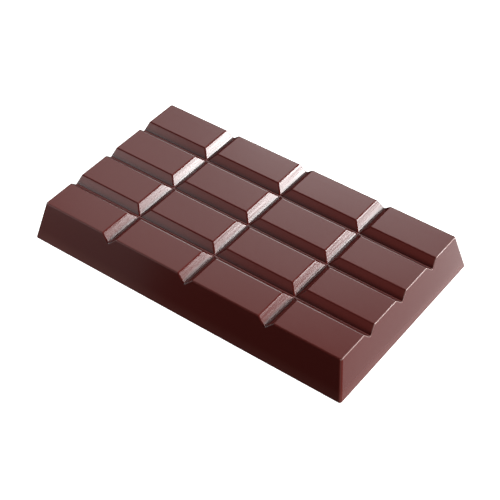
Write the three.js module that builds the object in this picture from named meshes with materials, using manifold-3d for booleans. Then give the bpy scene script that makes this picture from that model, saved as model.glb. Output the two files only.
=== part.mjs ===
// Chocolate bar: one solid slab with leaning walls, scored by grooves into four columns and four rows.
// X runs along the bar, Y across it and Z up. The origin is the middle of the flat underside.

import * as THREE from "three";
import { mergeVertices } from "three/addons/utils/BufferGeometryUtils.js";
import Module from "manifold-3d";

// Overall size at the underside, in millimetres
const barLength = 108;
const barWidth = 64.7;
const barHeight = 12.4;

// How far each wall comes in between the underside and the top
const endLean = 2.6;
const sideLean = 3.4;

// Rounded corners, seen from above, and the rounded edge around the top
const cornerRadius = 0.8;
const topEdgeRadius = 0.5;

// Pieces, and the distance from one groove to the next
const columnCount = 4;
const rowCount = 4;
const columnPitch = 27.3;
const rowPitch = 15.7;

// Grooves: a V with a rounded bottom and rounded lips, its half width measured between the flats
const grooveHalfWidth = 2.4;
const grooveSlope = THREE.MathUtils.degToRad(44);
const grooveBottomRadius = 0.4;
const grooveLipRadius = 0.7;

// The cutting shapes reach this far past the slab
const overshoot = 5;

// An arc of a corner, a groove bottom or a groove lip is drawn with twice this many flats
const arcSteps = 2;

// Number of flats across the rounded top edge
const topEdgeSteps = 3;

const wasm = await Module();
wasm.setup();

// Closed solid from the triangles of a shape
function solidOf(geometry) {
  geometry.deleteAttribute("normal");
  geometry.deleteAttribute("uv");
  const joined = mergeVertices(geometry, 1e-5);
  const mesh = new wasm.Mesh({
    numProp: 3,
    vertProperties: new Float32Array(joined.attributes.position.array),
    triVerts: new Uint32Array(joined.index.array),
  });
  return new wasm.Manifold(mesh);
}

// Triangles of a finished solid
function geometryOf(solid) {
  const mesh = solid.getMesh();
  const geometry = new THREE.BufferGeometry();
  geometry.setAttribute("position", new THREE.BufferAttribute(new Float32Array(mesh.vertProperties), 3));
  geometry.setIndex(new THREE.BufferAttribute(new Uint32Array(mesh.triVerts), 1));
  geometry.computeVertexNormals();
  return geometry;
}

// Outline of the underside: a rectangle with rounded corners
function undersideOutline() {
  const x = barLength / 2;
  const y = barWidth / 2;
  const r = cornerRadius;
  const outline = new THREE.Shape();
  outline.moveTo(-x + r, -y);
  outline.lineTo(x - r, -y);
  outline.absarc(x - r, -y + r, r, -Math.PI / 2, 0, false);
  outline.lineTo(x, y - r);
  outline.absarc(x - r, y - r, r, 0, Math.PI / 2, false);
  outline.lineTo(-x + r, y);
  outline.absarc(-x + r, y - r, r, Math.PI / 2, Math.PI, false);
  outline.lineTo(-x, -y + r);
  outline.absarc(-x + r, -y + r, r, Math.PI, 1.5 * Math.PI, false);
  return outline;
}

// Slab with a rounded top edge, its walls leaning in towards the top
function slab() {
  const geometry = new THREE.ExtrudeGeometry(undersideOutline(), {
    depth: barHeight - topEdgeRadius,
    curveSegments: arcSteps,
    bevelEnabled: true,
    bevelThickness: topEdgeRadius,
    bevelSize: topEdgeRadius,
    bevelOffset: -topEdgeRadius,
    bevelSegments: topEdgeSteps,
  });
  const position = geometry.attributes.position;
  for (let i = 0; i < position.count; i += 1) {
    const rise = position.getZ(i) / barHeight;
    position.setX(i, position.getX(i) * (1 - (endLean * rise) / (barLength / 2)));
    position.setY(i, position.getY(i) * (1 - (sideLean * rise) / (barWidth / 2)));
  }
  return solidOf(geometry);
}

// Box just under the slab, which leaves the underside flat
function groundBox() {
  const geometry = new THREE.BoxGeometry(barLength + 2 * overshoot, barWidth + 2 * overshoot, overshoot);
  geometry.translate(0, 0, -overshoot / 2);
  return solidOf(geometry);
}

// Cross-section of a groove, with height 0 at the top of the bar
function grooveSection() {
  const pointDepth = grooveHalfWidth * Math.tan(grooveSlope);
  const bottomCentre = -pointDepth + grooveBottomRadius / Math.cos(grooveSlope);
  const lipStart = grooveHalfWidth + grooveLipRadius * Math.tan(grooveSlope / 2);
  const up = Math.PI / 2;
  const down = -Math.PI / 2;
  const section = new THREE.Shape();
  section.moveTo(-lipStart, overshoot);
  section.lineTo(-lipStart, 0);
  section.absarc(-lipStart, -grooveLipRadius, grooveLipRadius, up, up - grooveSlope, true);
  section.absarc(0, bottomCentre, grooveBottomRadius, down - grooveSlope, down + grooveSlope, false);
  section.absarc(lipStart, -grooveLipRadius, grooveLipRadius, up + grooveSlope, up, true);
  section.lineTo(lipStart, overshoot);
  return section;
}

// Straight cutter along X, centred on the middle of the bar and set at the height of the top
function grooveCutter(length) {
  const geometry = new THREE.ExtrudeGeometry(grooveSection(), {
    depth: length,
    curveSegments: arcSteps,
    bevelEnabled: false,
  });
  geometry.translate(0, 0, -length / 2);
  geometry.rotateX(Math.PI / 2);
  geometry.rotateZ(Math.PI / 2);
  geometry.translate(0, 0, barHeight);
  return geometry;
}

let bar = slab().subtract(groundBox());

for (let row = 1; row < rowCount; row += 1) {
  const cutter = grooveCutter(barLength + 2 * overshoot);
  cutter.translate(0, (row - rowCount / 2) * rowPitch, 0);
  bar = bar.subtract(solidOf(cutter));
}

for (let column = 1; column < columnCount; column += 1) {
  const cutter = grooveCutter(barWidth + 2 * overshoot);
  cutter.rotateZ(Math.PI / 2);
  cutter.translate((column - columnCount / 2) * columnPitch, 0, 0);
  bar = bar.subtract(solidOf(cutter));
}

const chocolate = new THREE.MeshStandardMaterial({ color: 0x5a2f2c, roughness: 0.35, metalness: 0 });
const chocolateBar = new THREE.Mesh(geometryOf(bar), chocolate);
chocolateBar.name = "chocolate_bar";

const part = new THREE.Group();
part.name = "chocolate_bar_part";
part.add(chocolateBar);

export default part;
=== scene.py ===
# Chocolate bar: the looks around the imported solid. Metres throughout, +Z up, origin under the bar's middle.
import math

import bmesh
import bpy
from mathutils import Matrix, Vector


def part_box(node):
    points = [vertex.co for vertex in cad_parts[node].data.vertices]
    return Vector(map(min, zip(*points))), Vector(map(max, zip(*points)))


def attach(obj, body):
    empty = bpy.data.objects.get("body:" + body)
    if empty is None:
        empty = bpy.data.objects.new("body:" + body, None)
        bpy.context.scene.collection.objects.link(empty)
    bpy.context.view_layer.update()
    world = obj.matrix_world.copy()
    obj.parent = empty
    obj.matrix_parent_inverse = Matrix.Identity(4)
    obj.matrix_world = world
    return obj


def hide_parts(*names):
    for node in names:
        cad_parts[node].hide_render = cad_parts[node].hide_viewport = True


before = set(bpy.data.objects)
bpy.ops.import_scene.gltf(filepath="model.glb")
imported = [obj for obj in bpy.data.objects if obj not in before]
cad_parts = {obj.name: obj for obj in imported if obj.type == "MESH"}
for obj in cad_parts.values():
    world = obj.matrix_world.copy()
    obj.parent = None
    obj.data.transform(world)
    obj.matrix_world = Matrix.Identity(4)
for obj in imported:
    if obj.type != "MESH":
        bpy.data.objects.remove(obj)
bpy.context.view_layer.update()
low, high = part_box("chocolate_bar")
print("frame loaded")


# Camera, at the angle the photograph was taken from

camera = {
    "azimuth": 36.70,  # degrees round from the bar's long front side
    "elevation": 43.44,
    "roll": -0.21,
    "target": (0.00220, -0.00212, 0.00326),
    "distance": 0.3982,
    "lens": 99.5,  # millimetres, as the sensor's width is
    "sensor": 36,
    "nearest": 0.01,  # nothing closer than this is drawn
}


def placeCamera(settings):
    azimuth = math.radians(settings["azimuth"])
    elevation = math.radians(settings["elevation"])
    turn = Matrix.Rotation(azimuth, 3, "Z") @ Matrix.Rotation(math.pi / 2 - elevation, 3, "X")
    backwards = turn @ Vector((0, 0, 1))
    data = bpy.data.cameras.new("photoCamera")
    data.lens = settings["lens"]
    data.sensor_width = settings["sensor"]
    data.clip_start = settings["nearest"]
    body = bpy.data.objects.new("photoCamera", data)
    body.location = Vector(settings["target"]) + backwards * settings["distance"]
    body.rotation_euler = (turn @ Matrix.Rotation(math.radians(settings["roll"]), 3, "Z")).to_euler()
    bpy.context.scene.collection.objects.link(body)
    bpy.context.scene.camera = body


placeCamera(camera)
print("camera placed")


# Helpers for shading: a wire is one output socket, so that shader maths can be written as sums

class Wire:
    def __init__(self, sheet, socket):
        self.sheet = sheet
        self.socket = socket

    def maths(self, operation, first, second):
        return self.sheet.add("ShaderNodeMath", {"operation": operation}, {0: first, 1: second})["Value"]

    def __add__(self, other):
        return self.maths("ADD", self, other)

    def __radd__(self, other):
        return self.maths("ADD", other, self)

    def __sub__(self, other):
        return self.maths("SUBTRACT", self, other)

    def __rsub__(self, other):
        return self.maths("SUBTRACT", other, self)

    def __mul__(self, other):
        return self.maths("MULTIPLY", self, other)


class Sheet:
    def __init__(self, tree):
        self.tree = tree
        tree.nodes.clear()

    # Adds any node: its settings first, then the values or wires of its sockets
    def add(self, kind, settings=None, inputs=None):
        node = self.tree.nodes.new(kind)
        for name, value in (settings or {}).items():
            setattr(node, name, value)
        for name, value in (inputs or {}).items():
            if isinstance(name, int):
                socket = node.inputs[name]
            else:
                socket = next(s for s in node.inputs if s.enabled and s.name == name)
            if isinstance(value, Wire):
                self.tree.links.new(value.socket, socket)
            else:
                socket.default_value = value
        return {s.name: Wire(self, s) for s in node.outputs if s.enabled}

    def mixColour(self, amount, first, second):
        inputs = {"Factor": amount, "A": first, "B": second}
        return self.add("ShaderNodeMix", {"data_type": "RGBA"}, inputs)["Result"]

    # Maps a value from one range to 0..1, eased at both ends
    def ease(self, value, start, end):
        inputs = {"Value": value, "From Min": start, "From Max": end}
        return self.add("ShaderNodeMapRange", {"interpolation_type": "SMOOTHSTEP"}, inputs)["Result"]

    # Noise whose grain is about size metres across
    def noise(self, place, size, detail):
        inputs = {"Vector": place, "Scale": 1 / size, "Detail": detail}
        return self.add("ShaderNodeTexNoise", None, inputs)["Fac"]


# The bar's chocolate

chocolate = {
    "darkBrown": (0.066, 0.0112, 0.0094, 1),
    "lightBrown": (0.076, 0.0132, 0.0108, 1),
    "patchShare": 0.7,  # what the patches and the grain each add to the mix of these two
    "grainShare": 0.3,
    "footBounceBrown": (0.105, 0.030, 0.025, 1),  # painted light from the floor, on the foot of the walls
    "footBounce": (0.35, 0.6),  # how strongly that light is painted everywhere, and how much more in patches
    "rimHighlightBrown": (0.230, 0.150, 0.140, 1),  # painted highlight on the rounded top edges of the two ends
    "rimHighlight": (0.5, 0.5),  # as footBounce, for those edges
    "endEdge": 0.0508,  # they lie further out than this
    "endEdgeFade": 0.0002,
    "grooveShadeBrown": (0.022, 0.0026, 0.0020, 1),  # painted shade low in the grooves along the bar, and a painted dark reflection on their lips
    "deepFrom": 0.0119,  # height at which the painted shade starts on the way down
    "deepTo": 0.0102,  # and at which it is full
    "lipShade": 0.55,  # how much of the painted shade the lips get
    "underside": (0.110, 0.034, 0.027, 1),
    "roughness": 0.21,
    "undersideRoughness": 0.42,
    "footHeight": 0.0042,  # the lowest part of the walls is duller, and gets the painted light from the floor
    "footRoughness": 0.06,
    "patchSize": 0.022,  # slow drift of colour and gloss
    "patchGloss": 0.05,  # how far the patches and the grain vary the roughness
    "grainGloss": 0.03,
    "grainSize": 0.0006,
    "grainHeight": 0.0000008,
    "waveSize": 0.026,  # slow swell of the moulded faces
    "waveHeight": 0.000050,
    "rippleSize": 0.005,
    "rippleHeight": 0.0000022,
    "streakWidth": 0.00042,  # fine lines along the sides of the grooves that cross the bar
    "streakLength": 0.018,
    "streakHeight": 0.0000160,
    "streakDulling": 0.20,  # how far they vary the roughness
}

# Which way a face looks: each mask rises from none at the first value to full at the second.
# Those for the walls and the underside read the Z of its normal, and the others the square of
# the normal's X or Y, which is the same on both sides of a groove.
facings = {
    "underside": (0.6, 0.9),  # read downwards
    "wall": (0.55, 0.35),
    "offWall": (0.4, 0.6),
    "grooveSide": (0.15, 0.35),
    "lipFromTop": (0.01, 0.03),
    "lipToSide": (0.42, 0.32),
    "edgeFromTop": (0.03, 0.15),
    "edgeToWall": (0.92, 0.80),
    "edgeOffWall": (0.30, 0.42),  # reads Z too, and keeps the upright corners out
}


def chocolateMaterial(settings, ranges):
    material = bpy.data.materials.new("chocolate")
    material.use_nodes = True
    sheet = Sheet(material.node_tree)
    place = sheet.add("ShaderNodeTexCoord")["Object"]
    spot = sheet.add("ShaderNodeSeparateXYZ", None, {0: place})
    normal = sheet.add("ShaderNodeNewGeometry")["Normal"]
    side = sheet.add("ShaderNodeSeparateXYZ", None, {0: normal})
    tiltX = side["X"] * side["X"]
    tiltY = side["Y"] * side["Y"]
    patches = sheet.noise(place, settings["patchSize"], detail=3.0)
    grain = sheet.noise(place, settings["grainSize"], detail=2.0)

    # Masks for the parts of the surface
    below = sheet.ease(0 - side["Z"], *ranges["underside"])
    foot = sheet.ease(spot["Z"], settings["footHeight"], 0.0) * sheet.ease(side["Z"], *ranges["wall"])
    offWall = sheet.ease(side["Z"], *ranges["offWall"])
    crossways = sheet.ease(tiltX, *ranges["grooveSide"]) * offWall
    lengthways = sheet.ease(tiltY, *ranges["grooveSide"]) * offWall
    lip = sheet.ease(tiltY, *ranges["lipFromTop"]) * sheet.ease(tiltY, *ranges["lipToSide"]) * offWall
    edge = sheet.ease(tiltX, *ranges["edgeFromTop"]) * sheet.ease(tiltX, *ranges["edgeToWall"])
    edgeStart = settings["endEdge"]
    edgeEnd = edgeStart + settings["endEdgeFade"]
    outward = sheet.ease(spot["X"] * spot["X"], edgeStart ** 2, edgeEnd ** 2)
    rimMask = edge * sheet.ease(side["Z"], *ranges["edgeOffWall"]) * outward
    # Where the painted shade goes: low in the grooves along the bar, and on their lips
    depth = sheet.ease(spot["Z"], settings["deepFrom"], settings["deepTo"])
    shade = lengthways * depth * depth + lip * settings["lipShade"]

    # Colour, one layer over the other
    mottle = patches * settings["patchShare"] + grain * settings["grainShare"]
    brown = sheet.mixColour(mottle, settings["darkBrown"], settings["lightBrown"])
    # Painted light from the floor on the foot of the walls, stronger in patches
    least, more = settings["footBounce"]
    footLit = sheet.mixColour(foot * (least + patches * more), brown, settings["footBounceBrown"])
    # Painted highlight on the rounded top edges at the two ends, stronger in patches
    least, more = settings["rimHighlight"]
    rimLit = sheet.mixColour(rimMask * (least + patches * more), footLit, settings["rimHighlightBrown"])
    # Painted shade low in the grooves along the bar, and painted dark reflection on their lips
    deep = sheet.mixColour(shade, rimLit, settings["grooveShadeBrown"])
    colour = sheet.mixColour(below, deep, settings["underside"])

    # Streaks run along the grooves that cross the bar, on their two sides only
    stretch = (1 / settings["streakWidth"], 1 / settings["streakLength"], 1 / settings["streakWidth"])
    lines = sheet.add("ShaderNodeVectorMath", {"operation": "MULTIPLY"}, {0: place, 1: stretch})["Vector"]
    streaks = sheet.noise(lines, 1, detail=1.0)

    gloss = settings["roughness"]
    gloss = gloss + (patches - 0.5) * settings["patchGloss"]
    gloss = gloss + (grain - 0.5) * settings["grainGloss"]
    gloss = gloss + (streaks - 0.5) * crossways * settings["streakDulling"]
    gloss = gloss + foot * settings["footRoughness"]
    roughness = gloss + below * (settings["undersideRoughness"] - settings["roughness"])

    swell = sheet.noise(place, settings["waveSize"], detail=0.0) * settings["waveHeight"]
    ripple = sheet.noise(place, settings["rippleSize"], detail=1.0) * settings["rippleHeight"]
    fine = grain * settings["grainHeight"] + streaks * crossways * settings["streakHeight"]
    relief = {"Strength": 1.0, "Distance": 1.0, "Height": swell + ripple + fine}
    bump = sheet.add("ShaderNodeBump", None, relief)["Normal"]

    shader = sheet.add("ShaderNodeBsdfPrincipled", None, {
        "Base Color": colour,
        "Roughness": roughness,
        "IOR": 1.5,
        "Normal": bump,
    })["BSDF"]
    sheet.add("ShaderNodeOutputMaterial", None, {"Surface": shader})
    return material


# The bar itself

bar = {
    "endLean": 0.0026,  # how far each end wall comes in from the underside to the top
    "sideLean": 0.0034,
    "cornerRadius": 0.0008,
    "cornerSteps": 6,
    "columns": 4,
    "rows": 4,
    "columnPitch": 0.0273,
    "rowPitch": 0.0157,
    "grooveHalfWidth": 0.0024,
    "grooveFolds": ((0.0003, 0.00203), (0.0001, 0.00215)),  # half width and depth of each, near the bottom
    "edgeRounding": 0.00032,
    "edgeSteps": 4,
    "footRounding": 0.00015,
    "footSteps": 2,
    "flatAngle": 0.5,  # degrees: a line between faces that differ by less is taken out
    "sharpAngle": 20,  # edges sharper than this are rounded
    "smoothAngle": 40,  # edges blunter than this are shaded smooth
}

near = 0.00002  # how close a point counts as being on a line or a plane
same = 0.000001  # how close two points are joined into one


def deselectAll():
    bpy.ops.object.select_all(action="DESELECT")


# Selects the points, edges or faces of the mesh in edit mode that pass a test
def choose(piece, kind, test):
    bpy.ops.mesh.select_all(action="DESELECT")
    bpy.ops.mesh.select_mode(type=kind)
    mesh = bmesh.from_edit_mesh(piece.data)
    items = {"VERT": mesh.verts, "EDGE": mesh.edges, "FACE": mesh.faces}[kind]
    for item in items:
        item.select = test(item)
    mesh.select_flush_mode()
    bmesh.update_edit_mesh(piece.data)


# Middles of the grooves between a number of equal pieces
def grooveMiddles(count, pitch):
    return [(i - count / 2) * pitch for i in range(1, count)]


def buildBar(settings):
    length, width, height = (h - l for h, l in zip(high, low))
    endLean = settings["endLean"]
    sideLean = settings["sideLean"]
    halfWidth = settings["grooveHalfWidth"]
    folds = settings["grooveFolds"]
    columnGrooves = grooveMiddles(settings["columns"], settings["columnPitch"])
    rowGrooves = grooveMiddles(settings["rows"], settings["rowPitch"])

    deselectAll()
    bpy.ops.mesh.primitive_cube_add(size=1, location=(0, 0, height / 2), scale=(length, width, height))
    piece = bpy.context.active_object
    piece.name = "barChocolate"
    bpy.ops.object.transform_apply(location=True, rotation=True, scale=True)
    bpy.ops.object.mode_set(mode="EDIT")

    # Round the upright corners, then bring the top in so that the walls lean
    choose(piece, "EDGE", lambda e: abs(e.verts[0].co.z - e.verts[1].co.z) > height / 2)
    bpy.ops.mesh.bevel(offset=settings["cornerRadius"], segments=settings["cornerSteps"], affect="EDGES")
    choose(piece, "VERT", lambda v: v.co.z > height - near)
    inwards = (1 - 2 * endLean / length, 1 - 2 * sideLean / width, 1)
    bpy.ops.transform.resize(value=inwards, center_override=(0, 0, height))

    # Score the lines of the grooves across the top and down the walls, but not on the underside
    scores = [halfWidth, *(reach for reach, depth in folds)]
    for middles, direction in ((columnGrooves, Vector((1, 0, 0))), (rowGrooves, Vector((0, 1, 0)))):
        for middle in middles:
            for reach in scores:
                for way in (-1, 1):
                    choose(piece, "FACE", lambda f: f.normal.z > -0.5)
                    bpy.ops.mesh.bisect(plane_co=direction * (middle + way * reach), plane_no=direction)

    # Press the bottoms of the grooves down fold by fold, sliding their ends along the leaning walls
    def isNear(value, middles, reach):
        return any(abs(value - middle) < reach + near for middle in middles)

    topEnd = length / 2 - endLean
    topSide = width / 2 - sideLean
    level = height
    for reach, depth in folds:
        drop = level - (height - depth)

        def inColumnGroove(v):
            return v.co.z > level - near and isNear(v.co.x, columnGrooves, reach)

        def inRowGroove(v):
            return v.co.z > level - near and isNear(v.co.y, rowGrooves, reach)

        for way in (-1, 1):
            choose(piece, "VERT", lambda v: inColumnGroove(v) and v.co.y * way > topSide - near)
            bpy.ops.transform.translate(value=(0, way * sideLean * drop / height, -drop))
            choose(piece, "VERT", lambda v: inRowGroove(v) and v.co.x * way > topEnd - near)
            bpy.ops.transform.translate(value=(way * endLean * drop / height, 0, -drop))
        choose(piece, "VERT", lambda v: inColumnGroove(v) or inRowGroove(v))
        bpy.ops.transform.translate(value=(0, 0, -drop))
        level -= drop

    # Where two grooves cross, run an edge from each piece's corner down to the groove bottom
    steps = [(halfWidth, 0), *folds]
    for x in columnGrooves:
        for y in rowGrooves:
            for wayX, wayY in ((-1, -1), (-1, 1), (1, -1), (1, 1)):
                path = [
                    Vector((x + wayX * reach, y + wayY * reach, height - depth))
                    for reach, depth in steps
                ]
                for ends in zip(path, path[1:]):
                    choose(piece, "VERT", lambda v: any((v.co - end).length < near for end in ends))
                    bpy.ops.mesh.vert_connect()

    # Take out the score lines that ran down the walls
    bpy.ops.mesh.select_all(action="SELECT")
    bpy.ops.mesh.dissolve_limited(angle_limit=math.radians(settings["flatAngle"]))

    # Round every edge a little, the foot less than the rest and the bottoms of the grooves not at all
    def isSharp(edge):
        return len(edge.link_faces) == 2 and edge.calc_face_angle() > math.radians(settings["sharpAngle"])

    def inBottom(edge):
        deep = all(height / 2 < v.co.z < height - folds[0][1] + near for v in edge.verts)
        onWall = all(abs(v.co.x) > topEnd - near or abs(v.co.y) > topSide - near for v in edge.verts)
        return deep and not onWall

    def isFoot(edge):
        return max(v.co.z for v in edge.verts) < near

    choose(piece, "EDGE", lambda e: isSharp(e) and not isFoot(e) and not inBottom(e))
    bpy.ops.mesh.bevel(offset=settings["edgeRounding"], segments=settings["edgeSteps"], affect="EDGES")
    choose(piece, "EDGE", lambda e: isSharp(e) and isFoot(e))
    bpy.ops.mesh.bevel(offset=settings["footRounding"], segments=settings["footSteps"], affect="EDGES")
    bpy.ops.mesh.select_all(action="SELECT")
    bpy.ops.mesh.remove_doubles(threshold=same)
    bpy.ops.mesh.normals_make_consistent(inside=False)
    bpy.ops.object.mode_set(mode="OBJECT")

    deselectAll()
    piece.select_set(True)
    bpy.context.view_layer.objects.active = piece
    bpy.ops.object.shade_smooth_by_angle(angle=math.radians(settings["smoothAngle"]))
    flats = piece.modifiers.new("flats", "WEIGHTED_NORMAL")
    flats.keep_sharp = True
    bpy.ops.object.modifier_apply(modifier=flats.name)
    return piece


barChocolate = buildBar(bar)
barChocolate.data.materials.append(chocolateMaterial(chocolate, facings))
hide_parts("chocolate_bar")
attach(barChocolate, "root")
print("bar modelled:", len(barChocolate.data.polygons), "faces")


# Floor, surround and lights

floor = {
    "size": 4.0,
    "drop": 0.00003,  # kept this far below the underside, so that the two don't flicker
    "colour": (0.82, 0.81, 0.80, 1),
    "roughness": 0.9,
    "glowColour": (1, 1, 1, 1),
    "glow": 0.8,
}

surround = {"colour": (1, 1, 1, 1), "brightness": 1.0}

# A light looks at the bar from its azimuth, in degrees from +X towards +Y, and its elevation.
# A fill only brightens the chocolate and isn't mirrored in it.
lights = {
    "key": {  # from the camera's right, and the brightest that is mirrored
        "azimuth": 50.0, "elevation": 30.2, "distance": 2.500,
        "size": (0.511, 0.600), "brightness": 33.5,
    },
    "backLeft": {  # across from the camera, where the flat tops mirror it
        "azimuth": 124.0, "elevation": 38.9, "distance": 2.001,
        "size": (0.899, 0.587), "brightness": 1.40,
    },
    "backLow": {
        "azimuth": 118.0, "elevation": 34.0, "distance": 2.000,
        "size": (0.500, 0.400), "brightness": 2.14,
    },
    "backdrop": {
        "azimuth": 116.8, "elevation": 18.0, "distance": 1.200,
        "size": (0.300, 0.700), "brightness": 3.50,
    },
    "frontLeft": {  # close to the bar's front left corner, as are the next two
        "azimuth": 221.9, "elevation": 17.1, "distance": 0.130,
        "size": (0.107, 0.100), "brightness": 0.82,
    },
    "frontHigh": {
        "azimuth": 220.0, "elevation": 35.0, "distance": 0.250,
        "size": (0.120, 0.120), "brightness": 0.47,
    },
    "frontLow": {
        "azimuth": 228.0, "elevation": -8.0, "distance": 0.130,
        "size": (0.060, 0.060), "brightness": 0.24,
    },
    "frontStrip": {
        "azimuth": 240.0, "elevation": 34.0, "distance": 0.900,
        "size": (0.060, 0.480), "brightness": 0.25,
    },
    "tableGlow": {  # below the floor, where the wall at the right end mirrors it
        "azimuth": 53.7, "elevation": -35.2, "distance": 0.376,
        "size": (0.266, 0.389), "brightness": 0.90,
    },
    "tableRight": {
        "azimuth": 64.0, "elevation": -30.0, "distance": 0.376,
        "size": (0.200, 0.250), "brightness": 2.03,
    },
    "right": {
        "azimuth": -10.0, "elevation": 30.0, "distance": 1.500,
        "size": (0.467, 0.296), "brightness": 42.0, "fill": True,
    },
    "rightLow": {
        "azimuth": 10.0, "elevation": 25.0, "distance": 1.500,
        "size": (0.467, 0.296), "brightness": 52.4, "fill": True,
    },
    "left": {
        "azimuth": 205.0, "elevation": 24.0, "distance": 0.300,
        "size": (0.094, 0.060), "brightness": 14.5,
    },
    "above": {
        "azimuth": 60.0, "elevation": 70.0, "distance": 1.500,
        "size": (0.467, 0.296), "brightness": 15.0, "fill": True,
    },
}


def layFloor(settings):
    deselectAll()
    bpy.ops.mesh.primitive_plane_add(size=settings["size"], location=(0, 0, -settings["drop"]))
    plane = bpy.context.active_object
    plane.name = "floor"
    material = bpy.data.materials.new("floorPaper")
    material.use_nodes = True
    sheet = Sheet(material.node_tree)
    shader = sheet.add("ShaderNodeBsdfPrincipled", None, {
        "Base Color": settings["colour"],
        "Roughness": settings["roughness"],
        "Emission Color": settings["glowColour"],
        "Emission Strength": settings["glow"],
    })["BSDF"]
    sheet.add("ShaderNodeOutputMaterial", None, {"Surface": shader})
    plane.data.materials.append(material)
    plane.visible_glossy = False
    plane.visible_diffuse = False
    plane.visible_shadow = False


# A soft box that looks at the bar
def hangLight(name, settings):
    azimuth = math.radians(settings["azimuth"])
    elevation = math.radians(settings["elevation"])
    towards = Vector((
        math.cos(azimuth) * math.cos(elevation),
        math.sin(azimuth) * math.cos(elevation),
        math.sin(elevation),
    ))
    data = bpy.data.lights.new(name, "AREA")
    data.shape = "RECTANGLE"
    data.size, data.size_y = settings["size"]
    data.energy = settings["brightness"] * math.pi * data.size * data.size_y
    lamp = bpy.data.objects.new(name, data)
    lamp.location = towards * settings["distance"]
    lamp.rotation_euler = towards.to_track_quat("Z", "Y").to_euler()
    lamp.visible_camera = False
    lamp.visible_glossy = not settings.get("fill", False)
    bpy.context.scene.collection.objects.link(lamp)


# A white surround for the camera only, which casts no light on the bar
def makeSurround(settings):
    world = bpy.data.worlds.new("studio")
    world.use_nodes = True
    sheet = Sheet(world.node_tree)
    inputs = {"Color": settings["colour"], "Strength": settings["brightness"]}
    glow = sheet.add("ShaderNodeBackground", None, inputs)["Background"]
    sheet.add("ShaderNodeOutputWorld", None, {"Surface": glow})
    world.cycles_visibility.diffuse = False
    world.cycles_visibility.glossy = False
    bpy.context.scene.world = world


layFloor(floor)
for name, settings in lights.items():
    hangLight(name, settings)
makeSurround(surround)
bpy.context.scene.view_settings.view_transform = "Standard"
print("floor and lights set")
